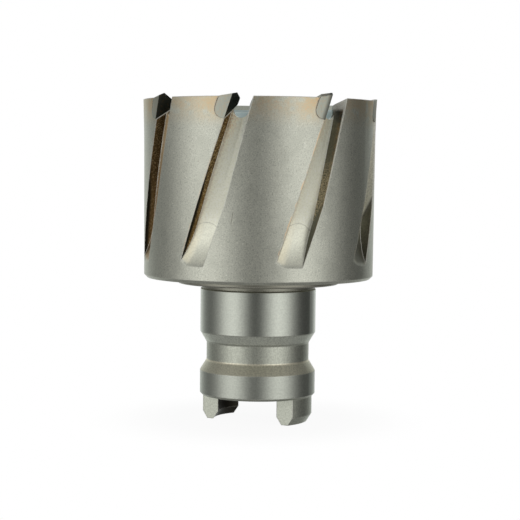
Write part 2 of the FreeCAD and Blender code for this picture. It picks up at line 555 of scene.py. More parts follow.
@dataclass(frozen=True)
class TurnedBand:
    """A turned stretch of the shank with a colour of its own, on some bands painted light or
    painted shade.
    """

    colour: Colour
    heights: Span
    soft: float
    share: float
    facing: Facing
    outward: Span = (0.5, 0.7)
    downward: Span = (-0.2, -0.4)

    def mask(self, place: SurfacePlace) -> Number:
        """How much the band's tint shows."""
        band = place.height.band(*self.heights, self.soft) * self.share
        if self.facing is Facing.OUTWARD:
            return band * place.outward.ramp(*self.outward)
        if self.facing is Facing.DOWNWARD:
            return band * place.upward.ramp(*self.downward)
        return band


@dataclass(frozen=True)
class ShankTints(Layer):
    """Tints of the shank and its turned bands from the locking groove up to the boss, some of them
    painted light or painted shade.
    """

    shank: Colour = (0.55, 0.572, 0.50)
    shank_share: float = 0.75
    below_foot: Span = (-3.0, -4.0)
    # Painted light: the downward-facing upper flank painted lighter.
    upper_flank_light: TurnedBand = TurnedBand(
        (0.85, 0.88, 0.79), (22.3, 24.6), 0.1, 0.8, Facing.DOWNWARD
    )
    lower_flank: TurnedBand = TurnedBand(
        (0.72, 0.685, 0.54), (14.0, 16.9), 0.2, 0.7, Facing.OUTWARD
    )
    # Painted highlight: a bright cream line along the corner fillet at the top of the lower flank.
    flank_corner_highlight: TurnedBand = TurnedBand(
        (0.95, 0.90, 0.72), (16.65, 17.15), 0.3, 0.9, Facing.OUTWARD
    )
    # Painted shade: a dark band in the undercut and a darker boss under the cup.
    undercut_shade: TurnedBand = TurnedBand((0.26, 0.25, 0.20), (36.65, 38.35), 0.15, 0.7, Facing.ANY)
    boss: TurnedBand = TurnedBand((0.36, 0.35, 0.285), (38.35, 39.6), 0.15, 0.9, Facing.OUTWARD)

    def bands(self) -> list[TurnedBand]:
        """The turned bands, in the order in which they are laid."""
        return [self.upper_flank_light, self.lower_flank, self.flank_corner_highlight, self.undercut_shade, self.boss]

    def lay(self, flute: FlutePlace, colour: Socket) -> Socket:
        """Lay the tints over the colour so far.

        Args:
            flute: The surface's place on the cup.
            colour: The colour so far.

        Returns:
            The colour with the tints.
        """
        graph, place = flute.graph, flute.place
        below = place.height.ramp(*shifted(flute.teeth.cup_foot, self.below_foot))
        colour = graph.mix(below * self.shank_share, colour, self.shank)
        for band in self.bands():
            colour = graph.mix(band.mask(place), colour, band.colour)
        return colour


@dataclass(frozen=True)
class InnerTints(Layer):
    """Bluish steel high in the cavity, and painted shade in the bore between the tongues and under
    their noses.
    """

    cavity: Colour = (0.72, 0.87, 0.88)
    cavity_share: float = 0.85
    below_rim: Span = (-22.0, -8.0)
    off_cavity: Span = (0.9, 0.7)
    # Near-black painted shade for the bore and under the tongues' noses.
    bore: Colour = (0.05, 0.047, 0.035)
    inward: Span = (-0.1, -0.4)
    bore_heights: Span = (20.0, 19.0)
    downward: Span = (-0.2, -0.4)
    nose_heights: Span = (4.0, 3.5)
    nose_radii: Span = (13.4, 12.8)

    def lay(self, flute: FlutePlace, colour: Socket) -> Socket:
        """Lay the tints over the colour so far.

        Args:
            flute: The surface's place on the cup.
            colour: The colour so far.

        Returns:
            The colour with the tints.
        """
        graph, place, teeth = flute.graph, flute.place, flute.teeth
        in_cup = place.height.ramp(*shifted(teeth.rim_height, self.below_rim))
        cavity = place.radius.ramp(*shifted(teeth.cavity_radius, self.off_cavity))
        colour = graph.mix(cavity * in_cup * self.cavity_share, colour, self.cavity)
        # Painted shade on inward faces of the bore and on downward faces low near the axis.
        bore = place.outward.ramp(*self.inward) * place.height.ramp(*self.bore_heights)
        nose = place.upward.ramp(*self.downward) * place.height.ramp(*self.nose_heights)
        bore = bore.most(nose * place.radius.ramp(*self.nose_radii))
        return graph.mix(bore, colour, self.bore)


@dataclass(frozen=True)
class Scratch(Layer):
    """Fine steep scratch on the land that faces the camera."""

    colour: Colour = (0.34, 0.33, 0.27)
    heights: Span = (55.4, 58.6)
    height_soft: float = 0.8
    angles: Span = (-74.75, -74.45)
    angle_soft: float = 0.2
    lean: float = 0.3

    def lay(self, flute: FlutePlace, colour: Socket) -> Socket:
        """Lay the scratch over the colour so far.

        Args:
            flute: The surface's place on the cup.
            colour: The colour so far.

        Returns:
            The colour with the scratch.
        """
        place = flute.place
        middle = sum(self.heights) / 2
        upright = place.angle - (place.height - middle) * self.lean
        line = upright.band(*self.angles, self.angle_soft)
        scratch = line * place.height.band(*self.heights, self.height_soft)
        return flute.graph.mix(scratch, colour, self.colour)


@dataclass(frozen=True)
class RimHeat(Layer):
    """Straw and tan heat colours near the rim and the tips."""

    straw: Colour = (0.72, 0.65, 0.46)
    tan: Colour = (0.70, 0.56, 0.36)
    speck: Colour = (0.80, 0.55, 0.30)
    reach: Span = (9.0, 0.5)
    fall: float = 1.3
    outward: Span = (0.0, 0.5)
    tip_past: Span = (-13.0, 1.5)
    tip_soft: float = 7.0
    cloud_grain: float = 2.6
    cloud_detail: float = 3.0
    straw_round_rim: float = 0.4
    straw_by_tip: float = 0.6
    straw_clouds: Span = (0.22, 0.5)
    tan_round_rim: float = 0.5
    tan_by_tip: float = 0.5
    tan_clouds: Span = (0.32, 0.52)
    tan_share: float = 0.72
    speck_shows: Span = (0.54, 0.60)
    speck_share: float = 0.7

    def lay(self, flute: FlutePlace, colour: Socket) -> Socket:
        """Lay the heat colours over the colour so far.

        Args:
            flute: The surface's place on the cup.
            colour: The colour so far.

        Returns:
            The colour with the heat's.
        """
        graph, place = flute.graph, flute.place
        near = flute.drop.ramp(*self.reach) ** self.fall * place.outward.ramp(*self.outward)
        by_tip = flute.past.band(*self.tip_past, self.tip_soft)
        cloud = graph.noise(place.position, self.cloud_grain, self.cloud_detail)
        straw = near * (self.straw_round_rim + by_tip * self.straw_by_tip)
        straw = straw * cloud.ramp(*self.straw_clouds)
        colour = graph.mix(straw, colour, self.straw)
        tan = near * (self.tan_round_rim + by_tip * self.tan_by_tip)
        tan = tan * cloud.ramp(*self.tan_clouds)
        colour = graph.mix(tan * self.tan_share, colour, self.tan)
        specks = tan * flute.specks.ramp(*self.speck_shows) * self.speck_share
        return graph.mix(specks, colour, self.speck)


@dataclass(frozen=True)
class FloorStain(Layer):
    """Pale floor of each flute, tan beside the rake wall and near the rim."""

    pale: Colour = (1.0, 1.0, 0.85)
    pale_share: float = 0.98
    runout_loss: float = 0.53
    tan: Colour = (1.0, 0.88, 0.64)
    rake_share: float = 0.3
    high_rake_share: float = 0.4
    high_share: float = 0.25
    clouds: Span = (0.3, 0.55)
    clouded: float = 0.7

    def lay(self, flute: FlutePlace, colour: Socket) -> Socket:
        """Lay the floor's colours over the colour so far.

        Args:
            flute: The surface's place on the cup.
            colour: The colour so far.

        Returns:
            The colour with the floor's.
        """
        graph = flute.graph
        pale = flute.floor * (self.pale_share - flute.low * self.runout_loss)
        colour = graph.mix(pale, colour, self.pale)
        tan = flute.by_rake * (self.rake_share + flute.high * self.high_rake_share)
        tan = tan + flute.high * flute.floor * self.high_share
        clouds = flute.cloud.ramp(*self.clouds) * self.clouded + (1 - self.clouded)
        return graph.mix(tan * clouds, colour, self.tan)


@dataclass(frozen=True)
class RunOutStainAndShade(Layer):
    """Cream run-out at each flute's foot, with painted shade along the curved crease where it
    starts, below that crease and at the foot, and darker run-out floor over a narrow span of
    angles.
    """

    cream: Colour = (1.0, 0.93, 0.68)
    cream_share: float = 0.4
    # Colour of the painted shade along the crease, below it and at the foot.
    line: Colour = (0.46, 0.46, 0.39)
    line_middle: float = 6.0
    line_curve: float = 0.03
    line_rise: Span = (-0.12, 0.12)
    line_soft: float = 0.15
    line_share: float = 0.45
    shade_rise: Span = (-3.5, 0.0)
    shade_soft: float = 2.0
    shade_share: float = 0.12
    foot_rise: float = 2.0
    foot_share: float = 0.27
    far: Colour = (0.30, 0.30, 0.25)
    far_angles: Span = (-5.0, 5.0)
    far_share: float = 0.8

    def lay(self, flute: FlutePlace, colour: Socket) -> Socket:
        """Lay the run-out's colours over the colour so far.

        Args:
            flute: The surface's place on the cup.
            colour: The colour so far.

        Returns:
            The colour with the run-out's.
        """
        graph, height, teeth = flute.graph, flute.place.height, flute.teeth
        colour = graph.mix(flute.by_rake * flute.low * self.cream_share, colour, self.cream)
        # Painted shade: a line along the crease where the run-out starts, a soft band below it,
        # and the foot.
        foot = height.ramp(teeth.exit_height + self.foot_rise, teeth.exit_height)
        across = flute.past - self.line_middle
        rise = height + across * across * self.line_curve - teeth.runout_height
        line = rise.band(*self.line_rise, self.line_soft) * self.line_share
        line = line + rise.band(*self.shade_rise, self.shade_soft) * self.shade_share
        line = flute.floor * (line + foot * self.foot_share)
        colour = graph.mix(line, colour, self.line)
        # Darker run-out floor over a narrow span of angles round the rim.
        far = flute.floor * flute.low * flute.round_rim.ramp(*self.far_angles)
        return graph.mix(far * self.far_share, colour, self.far)


@dataclass(frozen=True)
class TanStrip(Layer):
    """Tan floor, with pale beads, of the flute at the photograph's left edge."""

    high_tan: Colour = (0.58, 0.44, 0.26)
    low_tan: Colour = (0.46, 0.30, 0.14)
    tan_drops: Span = (12.0, 22.0)
    start: Span = (-130.0, -126.0)
    end: Span = (-95.0, -99.0)
    share: float = 0.85
    bead: Colour = (0.95, 0.95, 0.86)
    bead_past: Span = (2.4, 1.6)
    bead_drops: Span = (32.0, 22.0)
    bead_shows: Span = (0.5, 0.56)

    def lay(self, flute: FlutePlace, colour: Socket) -> Socket:
        """Lay the strip over the colour so far.

        Args:
            flute: The surface's place on the cup.
            colour: The colour so far.

        Returns:
            The colour with the strip's.
        """
        graph = flute.graph
        strip = flute.floor * flute.round_rim.ramp(*self.end) * flute.round_rim.ramp(*self.start)
        tan = graph.mix(flute.drop.ramp(*self.tan_drops), self.high_tan, self.low_tan)
        colour = graph.mix(strip * self.share, colour, tan)
        beads = flute.past.ramp(*self.bead_past) * flute.specks.ramp(*self.bead_shows)
        beads = strip * beads * flute.drop.ramp(*self.bead_drops)
        return graph.mix(beads, colour, self.bead)


@dataclass(frozen=True)
class FloorCorners(Layer):
    """Specks and brown clouds by the rake wall, and a cool tint across from it."""

    speck: Colour = (0.80, 0.55, 0.30)
    speck_shows: Span = (0.52, 0.59)
    speck_share: float = 0.7
    brown: Colour = (0.42, 0.31, 0.17)
    brown_past: Span = (3.2, 1.5)
    brown_least: float = 0.35
    brown_clouds: float = 1.4
    cool: Colour = (0.84, 0.89, 0.85)
    cool_past: Span = (7.5, 10.5)
    cool_share: float = 0.7

    def lay(self, flute: FlutePlace, colour: Socket) -> Socket:
        """Lay the corners' colours over the colour so far.

        Args:
            flute: The surface's place on the cup.
            colour: The colour so far.

        Returns:
            The colour with the corners'.
        """
        graph = flute.graph
        specks = flute.by_rake * flute.high * flute.specks.ramp(*self.speck_shows)
        colour = graph.mix(specks * self.speck_share, colour, self.speck)
        brown = flute.floor * flute.past.ramp(*self.brown_past) * flute.high.most(self.brown_least)
        brown = brown * (flute.cloud * self.brown_clouds) * (1 - flute.low)
        colour = graph.mix(brown, colour, self.brown)
        cool = flute.floor * flute.past.ramp(*self.cool_past) * flute.high
        return graph.mix(cool * self.cool_share, colour, self.cool)


@dataclass(frozen=True)
class SlantShadeAndHighlight(Layer):
    """Painted shade on the slant beside each flute's floor, and a painted highlight along its
    outer edge.
    """

    # Painted shade, multiplied in deeper on the slant.
    shade: Colour = (0.78, 0.80, 0.78)
    shade_depths: Span = (0.2, 0.4)
    # Painted highlight along the slant's outer edge.
    pale: Colour = (0.95, 0.95, 0.86)
    pale_depths: Span = (0.3, 0.15)

    def lay(self, flute: FlutePlace, colour: Socket) -> Socket:
        """Lay the slant's tint over the colour so far.

        Args:
            flute: The surface's place on the cup.
            colour: The colour so far.

        Returns:
            The colour with the slant's.
        """
        graph = flute.graph
        # Painted shade deeper on the slant; painted highlight near the outer edge.
        deep = flute.slant * flute.depth.ramp(*self.shade_depths)
        colour = graph.mix(deep, colour, self.shade, Blend.MULTIPLY)
        return graph.mix(flute.slant * flute.depth.ramp(*self.pale_depths), colour, self.pale)


@dataclass(frozen=True)
class RakeStain(Layer):
    """Dark oxide with copper and bright sparks on the walls under the tips."""

    oxide: Colour = (0.034, 0.029, 0.018)
    high_copper: Colour = (0.165, 0.105, 0.043)
    low_copper: Colour = (0.33, 0.205, 0.085)
    low_drops: Span = (18.0, 30.0)
    copper_depths: Span = (0.7, 1.7)
    spread: float = 1.7
    spread_drops: Span = (28.0, 12.0)
    copper_share: float = 0.5
    copper_clouds: float = 0.9
    spark: Colour = (1.0, 0.74, 0.42)
    spark_shows: Span = (0.53, 0.61)
    spark_share: float = 0.3
    extra_share: float = 0.25
    extra_angles: Span = (-98.0, -94.0)

    def lay(self, flute: FlutePlace, colour: Socket) -> Socket:
        """Lay the rake walls' stain over the colour so far.

        Args:
            flute: The surface's place on the cup.
            colour: The colour so far.

        Returns:
            The colour with the walls'.
        """
        graph, drop = flute.graph, flute.drop
        spread = drop.ramp(*self.spread_drops) * self.spread
        copper = (flute.depth + spread).ramp(*self.copper_depths)
        warm = graph.mix(drop.ramp(*self.low_drops), self.high_copper, self.low_copper)
        clouds = self.copper_share + flute.cloud * self.copper_clouds
        wall = graph.mix(copper * clouds, self.oxide, warm)
        extra = flute.round_rim.ramp(*self.extra_angles) * self.extra_share
        sparks = flute.specks.ramp(*self.spark_shows) * copper * (self.spark_share + extra)
        wall = graph.mix(sparks, wall, self.spark)
        return graph.mix(flute.rake_wall, colour, wall)


@dataclass(frozen=True)
class HeelStainAndShade(Layer):
    """Heel walls in dark grey painted shade, with brown streaks and tan specks, painted light
    where sunlit, and painted highlights at the top and along the lip.
    """

    # Dark grey painted shade, the walls' base colour.
    grey: Colour = (0.21, 0.205, 0.165)
    streak: Colour = (0.46, 0.32, 0.18)
    streak_depths: Span = (1.6, 0.4)
    streak_clouds: Span = (0.35, 0.6)
    streak_drops: Span = (40.0, 24.0)
    streak_specks: Span = (0.44, 0.56)
    speckled: float = 0.65
    streak_share: float = 0.8
    # Painted highlight at the walls' top.
    top: Colour = (1.0, 0.98, 0.88)
    top_drops: Span = (3.7, 2.4)
    slope: float = 2.2
    tan: Colour = (0.72, 0.61, 0.44)
    tan_drops: Span = (14.0, 22.0)
    tan_ends: Span = (27.2, 25.0)
    tan_specks: Span = (0.36, 0.62)
    tan_share: float = 0.9
    # Painted light where the walls are sunlit.
    sunlit: Colour = (0.82, 0.81, 0.68)
    sunlit_ends: Span = (25.9, 24.4)
    sunlit_angles: Span = (8.0, 14.0)
    plain: Colour = (0.40, 0.41, 0.37)
    plain_angles: Span = (-75.0, -40.0)
    plain_soft: float = 2.0
    # Painted highlight along the walls' lip.
    lip: Colour = (0.95, 0.95, 0.86)
    lip_depths: Span = (0.45, 0.25)
    dull_depths: Span = (0.33, 0.2)

    def lay(self, flute: FlutePlace, colour: Socket) -> Socket:
        """Lay the heel walls' colours over the colour so far.

        Args:
            flute: The surface's place on the cup.
            colour: The colour so far.

        Returns:
            The colour with the walls'.
        """
        graph, drop, depth = flute.graph, flute.drop, flute.depth
        streak = depth.ramp(*self.streak_depths) * flute.cloud.ramp(*self.streak_clouds)
        specks = flute.specks.ramp(*self.streak_specks) * self.speckled + (1 - self.speckled)
        streak = streak * drop.ramp(*self.streak_drops) * specks
        # Brown streaks over the painted shade grey, then the painted highlight at the top.
        wall = graph.mix(streak * self.streak_share, self.grey, self.streak)
        wall = graph.mix(drop.ramp(*self.top_drops), wall, self.top)
        end = drop - depth * self.slope
        tan = drop.ramp(*self.tan_drops) * end.ramp(*self.tan_ends)
        tan = tan * flute.specks.ramp(*self.tan_specks) * self.tan_share
        wall = graph.mix(tan, wall, self.tan)
        sunlit = graph.mix(end.ramp(*self.sunlit_ends), self.grey, self.sunlit)
        wall = graph.mix(flute.round_rim.ramp(*self.sunlit_angles), wall, sunlit)
        near = flute.round_rim.band(*self.plain_angles, self.plain_soft)
        wall = graph.mix(near, wall, self.plain)
        # Painted highlight along the lip.
        wall = graph.mix(depth.ramp(*self.lip_depths), wall, self.lip)
        return graph.mix(flute.heel_wall, colour, wall)

    def dull(self, flute: FlutePlace) -> Number:
        """1 at the walls' top and along their lip, which are dull."""
        top = flute.drop.ramp(*self.top_drops)
        return flute.lip * top.most(flute.depth.ramp(*self.dull_depths))


@dataclass(frozen=True)
class EdgeLine(Layer):
    """Patchy copper line that wanders along each flute's leading edge."""

    colour: Colour = (0.85, 0.66, 0.42)
    wander_grain: float = 3.5
    wander_detail: float = 2.0
    wander: float = 1.4
    past: Span = (-0.45, 0.6)
    soft: float = 0.3
    outward: Span = (0.9, 0.98)
    above_exit: Span = (3.0, 4.0)
    cloud_share: float = 0.4
    patches: Span = (0.55, 0.75)
    strong_angles: Span = (-42.0, -12.0)
    strong_soft: float = 3.0
    weak_share: float = 0.4

    def lay(self, flute: FlutePlace, colour: Socket) -> Socket:
        """Lay the line over the colour so far.

        Args:
            flute: The surface's place on the cup.
            colour: The colour so far.

        Returns:
            The colour with the line.
        """
        graph, place = flute.graph, flute.place
        noise = graph.noise(place.position, self.wander_grain, self.wander_detail)
        past = flute.past + (noise - NOISE_MIDDLE) * self.wander
        edge = past.band(*self.past, self.soft) * place.outward.ramp(*self.outward) * flute.on_cup
        in_flute = place.height.ramp(*shifted(flute.teeth.exit_height, self.above_exit))
        patches = (noise + flute.cloud * self.cloud_share).ramp(*self.patches)
        strong = flute.round_rim.band(*self.strong_angles, self.strong_soft)
        patches = patches * (self.weak_share + strong * (1 - self.weak_share))
        return graph.mix(edge * in_flute * patches, colour, self.colour)


@dataclass(frozen=True)
class RubbedGrain:
    """Coarse grain that shows on the shank, the flutes' floors and their walls."""

    dark: Colour = (0.87, 0.87, 0.85)
    light: Colour = (1.12, 1.12, 1.10)
    grain: float = 0.42
    detail: float = 2.0
    shows: Span = (0.3, 0.7)
    below_foot: Span = (-2.0, -3.0)
    land_loss: float = 0.4
    floor_share: float = 0.6
    sides: Span = (0.55, 0.8)

    def lay(self, flute: FlutePlace, land: Number, colour: Socket) -> Socket:
        """Multiply the grain into the colour so far.

        Args:
            flute: The surface's place on the cup.
            land: The mask of the ground lands.
            colour: The colour so far.

        Returns:
            The colour with the grain.
        """
        graph, place = flute.graph, flute.place
        coarse = graph.noise(place.position, self.grain, self.detail)
        shank = place.height.ramp(*shifted(flute.teeth.cup_foot, self.below_foot))
        shows = shank * (1 - land * self.land_loss) + flute.floor * self.floor_share
        shows = shows + abs(place.forward).ramp(*self.sides)
        grain = graph.mix(coarse.ramp(*self.shows), self.dark, self.light)
        return graph.mix(shows, colour, grain, Blend.MULTIPLY)


@dataclass(frozen=True)
class EdgeWearAndHighlight:
    """Small rounding along edges and in corners, painted brighter: partly wear, partly painted
    highlight.
    """

    # Edge colour: partly wear, partly painted highlight.
    colour: Colour = (1.0, 0.985, 0.89)
    radius: float = 0.3
    corner_radius: float = 0.65
    corner_past: Span = (4.5, 2.5)
    samples: int = 8
    turned: Span = (0.985, 0.92)
    share: float = 0.9
    roughness: float = 0.15
    dull: float = 0.8

    def normal(self, graph: Graph, radius: float) -> Socket:
        """Normal that turns smoothly across edges.

        Args:
            graph: The material's graph.
            radius: Radius of the rounding in millimetres.

        Returns:
            The normal.
        """
        bevel = graph.node("ShaderNodeBevel", {"samples": self.samples}, {"Radius": radius * MM})
        return bevel.outputs[0]

    def mask(self, graph: Graph, rounded: Socket) -> Number:
        """1 along edges and corners.

        Args:
            graph: The material's graph.
            rounded: The normal that turns across edges.

        Returns:
            The mask.
        """
        plain = graph.node("ShaderNodeNewGeometry").outputs["Normal"]
        dot = graph.node(
            "ShaderNodeVectorMath", {"operation": "DOT_PRODUCT"}, {0: rounded, 1: plain}
        )
        return graph.number(dot, "Value").ramp(*self.turned) * self.share

    def hollowed(self, flute: FlutePlace, rounded: Socket, edge: Number) -> Socket:
        """The normal with a wider rounding in the corner beside each rake wall.

        Args:
            flute: The surface's place on the cup.
            rounded: The normal that turns across edges.
            edge: The mask of the edges.

        Returns:
            The normal.
        """
        wide = self.normal(flute.graph, self.corner_radius)
        corner = flute.floor * flute.past.ramp(*self.corner_past)
        return flute.graph.mix(corner * (1 - edge), rounded, wide)


@dataclass(frozen=True)
class GroundLand:
    """Finely ground bearing lands of the shank."""

    colour: Colour = (0.545, 0.567, 0.505)
    line: Colour = (0.525, 0.547, 0.487)
    ring_grain: float = 3.0
    ring_pitch: float = 0.25
    ring_detail: float = 2.0
    ring_shows: Span = (0.4, 0.62)
    lower: Span = (7.6, 14.0)
    upper: Span = (24.75, 36.7)
    height_soft: float = 0.15
    radii: Span = (15.5, 15.9)
    outward: Span = (0.9, 0.97)

    def mask(self, place: SurfacePlace) -> Number:
        """1 on the lands."""
        heights = place.height.band(*self.lower, self.height_soft)
        heights = heights + place.height.band(*self.upper, self.height_soft)
        return heights * place.outward.ramp(*self.outward) * place.radius.ramp(*self.radii)

    def colours(self, graph: Graph, place: SurfacePlace) -> Socket:
        """Fine rings left by the wheel.

        Args:
            graph: The material's graph.
            place: The surface's place.

        Returns:
            The colour.
        """
        stretch = (1.0, 1.0, self.ring_grain / self.ring_pitch)
        rings = graph.noise(place.position, self.ring_grain, self.ring_detail, stretch)
        return graph.mix(rings.ramp(*self.ring_shows), self.line, self.colour)


@dataclass(frozen=True)
class SkinRoughness:
    """Roughness and relief of the body's skin."""

    blasted: float = 0.42
    grain: float = 0.3
    detail: float = 2.0
    variation: float = 0.12
    ground: float = 0.29
    collar: float = 0.37
    collar_soft: float = 0.5
    floor: float = 0.15
    floor_drops: Span = (36.0, 28.0)
    floor_dull: float = 0.1
    heel_dull: float = 0.8
    relief: float = 0.03
    relief_strength: float = 0.6
    land_loss: float = 0.6

    def roughness(
        self, flute: FlutePlace, ground: GroundLand, land: Number, fine: Number
    ) -> Number:
        """Roughness of the skin before its edges.

        Args:
            flute: The surface's place on the cup.
            ground: The shank's lands.
            land: The mask of the lands.
            fine: The fine grain.

        Returns:
            The roughness.
        """
        rough = self.blasted + (fine - NOISE_MIDDLE) * self.variation * (1 - land)
        rough = rough + land * (self.ground - self.blasted)
        top = ground.lower[1]
        collar = flute.place.height.ramp(top + self.collar_soft, top) * land
        rough = rough + collar * (self.collar - self.ground)
        return rough + flute.floor * flute.drop.ramp(*self.floor_drops) * self.floor

    def bump(self, graph: Graph, fine: Number, land: Number, normal: Socket) -> Socket:
        """Relief of the fine grain.

        Args:
            graph: The material's graph.
            fine: The fine grain.
            land: The mask of the lands, where the relief is weaker.
            normal: The normal under the relief.

        Returns:
            The normal with the relief.
        """
        inputs = {
            "Height": fine * (1 - land * self.land_loss),
            "Distance": self.relief * MM,
            "Strength": self.relief_strength,
            "Normal": normal,
        }
        return graph.node("ShaderNodeBump", None, inputs).outputs[0]


@dataclass(frozen=True)
class CarbideFinish:
    """Ground tungsten carbide."""

    flank: Colour = (0.53, 0.55, 0.465)
    top: Colour = (0.40, 0.40, 0.35)
    facing: Span = (0.5, 0.8)
    grind_grain: float = 0.5
    grind_stretch: Stretch = (1.0, 1.0, 0.2)
    grind_shows: Span = (0.6, 0.35)
    grind_share: float = 0.35
    blot_grain: float = 0.6
    detail: float = 2.0
    tan: Colour = (0.60, 0.50, 0.36)
    tan_shows: Span = (0.46, 0.62)
    tan_share: float = 0.45
    shade: Colour = (0.16, 0.165, 0.14)
    shade_angles: Span = (-36.0, -22.0)
    shade_soft: float = 2.0
    shade_past: Span = (-2.9, -0.4)
    rake: Colour = (0.052, 0.054, 0.043)
    copper: Colour = (0.12, 0.085, 0.045)
    copper_shows: Span = (0.58, 0.7)
    roughness: float = 0.42
    variation: float = 0.1
    relief: float = 0.01
    relief_strength: float = 0.5


@dataclass(frozen=True)
class BrazeFinish:
    """Copper braze darkened by the furnace, pale on the side under the rake face."""

    dark: Colour = (0.24, 0.19, 0.13)
    bright: Colour = (0.62, 0.50, 0.33)
    blot_grain: float = 0.7
    detail: float = 3.0
    bright_shows: Span = (0.48, 0.72)
    bright_share: float = 0.7
    front: Colour = (0.95, 0.95, 0.88)
    facing: Span = (0.5, 0.8)
    front_share: float = 0.9
    front_dull: float = 0.7
    roughness: float = 0.5
    variation: float = 0.3


def new_material(name: str) -> tuple[bpy.types.Material, Graph]:
    """An empty node material.

    Args:
        name: The material's name.

    Returns:
        The material and its graph.
    """
    material = bpy.data.materials.new(name)
    material.use_nodes = True
    return material, Graph(material.node_tree)


def finish_metal(
    graph: Graph,
    colour: Socket | Colour,
    roughness: Number | float,
    normal: Socket | None = None,
    metallic: Number | float = 1.0,
) -> None:
    """End a graph in a metal.

    Args:
        graph: The material's graph.
        colour: The metal's colour.
        roughness: Its roughness.
        normal: Its normal, or None for the surface's own.
        metallic: How far it is a metal.
    """
    inputs = {"Base Color": colour, "Roughness": roughness, "Metallic": metallic}
    if normal is not None:
        inputs["Normal"] = normal
    shader = graph.node("ShaderNodeBsdfPrincipled", None, inputs)
    graph.node("ShaderNodeOutputMaterial", None, {"Surface": shader.outputs[0]})


def paint(node: bpy.types.Object, material: bpy.types.Material) -> None:
    """Give every material slot of an object one material.

    Args:
        node: The object.
        material: The material.
    """
    if not node.material_slots:
        node.data.materials.append(material)
    for slot in node.material_slots:
        slot.material = material


@dataclass
class CutterBody:
    """Cup, flutes and shank, turned and milled from one blank."""

    node: bpy.types.Object
    teeth: ToothPattern
    blasted: BlastedSteel = field(default_factory=BlastedSteel)
    heel: HeelStainAndShade = field(default_factory=HeelStainAndShade)
    ground: GroundLand = field(default_factory=GroundLand)
    grain: RubbedGrain = field(default_factory=RubbedGrain)
    edges: EdgeWearAndHighlight = field(default_factory=EdgeWearAndHighlight)
    skin: SkinRoughness = field(default_factory=SkinRoughness)

    def layers(self) -> list[Layer]:
        """Tints, heat colours and stains, from the lowest to the uppermost."""
        tints = [ShankTints(), InnerTints(), Scratch(), RimHeat()]
        floors = [FloorStain(), RunOutStainAndShade(), TanStrip(), FloorCorners()]
        return tints + floors + [SlantShadeAndHighlight(), RakeStain(), self.heel, EdgeLine()]

    def dress(self) -> None:
        """Give the body its steel."""
        material, graph = new_material("blasted_steel")
        flute = FlutePlace(graph, self.teeth)
        land = self.ground.mask(flute.place)
        rounded = self.edges.normal(graph, self.edges.radius)
        edge = self.edges.mask(graph, rounded)
        colour = self._colours(flute, land, edge)
        fine = graph.noise(flute.place.position, self.skin.grain, self.skin.detail)
        rough = self.skin.roughness(flute, self.ground, land, fine)
        rough = rough + edge * self.edges.roughness
        normal = self.edges.hollowed(flute, rounded, edge)
        bump = self.skin.bump(graph, fine, land, normal)
        finish_metal(graph, colour, rough, bump, 1 - self._dull(flute, edge))
        paint(self.node, material)

    def _colours(self, flute: FlutePlace, land: Number, edge: Number) -> Socket:
        """The steel's colour with all its layers, lands, grain and edges.

        Args:
            flute: The surface's place on the cup.
            land: The mask of the ground lands.
            edge: The mask of the edges.

        Returns:
            The colour.
        """
        graph, place = flute.graph, flute.place
        colour = self.blasted.colours(graph, place)
        for layer in self.layers():
            colour = layer.lay(flute, colour)
        colour = graph.mix(land, colour, self.ground.colours(graph, place))
        colour = self.grain.lay(flute, land, colour)
        # Edges painted brighter: partly wear, partly painted highlight.
        return graph.mix(edge, colour, self.edges.colour)

    def _dull(self, flute: FlutePlace, edge: Number) -> Number:
        """How far the skin is dull instead of metallic.

        Args:
            flute: The surface's place on the cup.
            edge: The mask of the edges.

        Returns:
            The dullness.
        """
        dull = self.heel.dull(flute) * self.skin.heel_dull
        dull = dull + edge * flute.on_cup * self.edges.dull
        upper = flute.drop.ramp(*self.skin.floor_drops)
        return dull.most(flute.floor * upper * self.skin.floor_dull)


@dataclass
class CarbideTips:
    """The eight brazed cutting tips."""

    nodes: list[bpy.types.Object]
    teeth: ToothPattern
    finish: CarbideFinish = field(default_factory=CarbideFinish)

    def dress(self) -> None:
        """Give the tips their ground carbide."""
        material, graph = new_material("ground_carbide")
        place, finish = SurfacePlace(graph), self.finish
        grind = graph.noise(
            place.position, finish.grind_grain, finish.detail, finish.grind_stretch
        )
        blots = graph.noise(place.position, finish.blot_grain, finish.detail)
        colour = graph.mix(place.upward.ramp(*finish.facing), finish.flank, finish.top)
        ground = grind.ramp(*finish.grind_shows) * finish.grind_share
        colour = graph.mix(ground, colour, finish.top)
        tan = blots.ramp(*finish.tan_shows) * finish.tan_share
        colour = graph.mix(tan, colour, finish.tan)
        shade = place.angle.band(*finish.shade_angles, finish.shade_soft)
        shade = shade * place.past_edge(self.teeth).ramp(*finish.shade_past)
        colour = graph.mix(shade, colour, finish.shade)
        rake = graph.mix(blots.ramp(*finish.copper_shows), finish.rake, finish.copper)
        colour = graph.mix(place.forward.ramp(*finish.facing), colour, rake)
        bump = graph.node(
            "ShaderNodeBump",
            None,
            {
                "Height": grind,
                "Distance": finish.relief * MM,
                "Strength": finish.relief_strength,
            },
        )
        rough = finish.roughness + grind * finish.variation
        finish_metal(graph, colour, rough, bump.outputs[0])
        for node in self.nodes:
            paint(node, material)


@dataclass
class BrazeSeams:
    """Braze that holds each tip in its seat."""

    nodes: list[bpy.types.Object]
    finish: BrazeFinish = field(default_factory=BrazeFinish)

    def dress(self) -> None:
        """Give the seams their braze."""
        material, graph = new_material("dark_braze")
        place, finish = SurfacePlace(graph), self.finish
        blots = graph.noise(place.position, finish.blot_grain, finish.detail)
        bright = blots.ramp(*finish.bright_shows) * finish.bright_share
        colour = graph.mix(bright, finish.dark, finish.bright)
        front = place.forward.ramp(*finish.facing)
        colour = graph.mix(front * finish.front_share, colour, finish.front)
        rough = finish.roughness + (blots - NOISE_MIDDLE) * finish.variation
        finish_metal(graph, colour, rough, None, 1 - front * finish.front_dull)
        for node in self.nodes:
            paint(node, material)


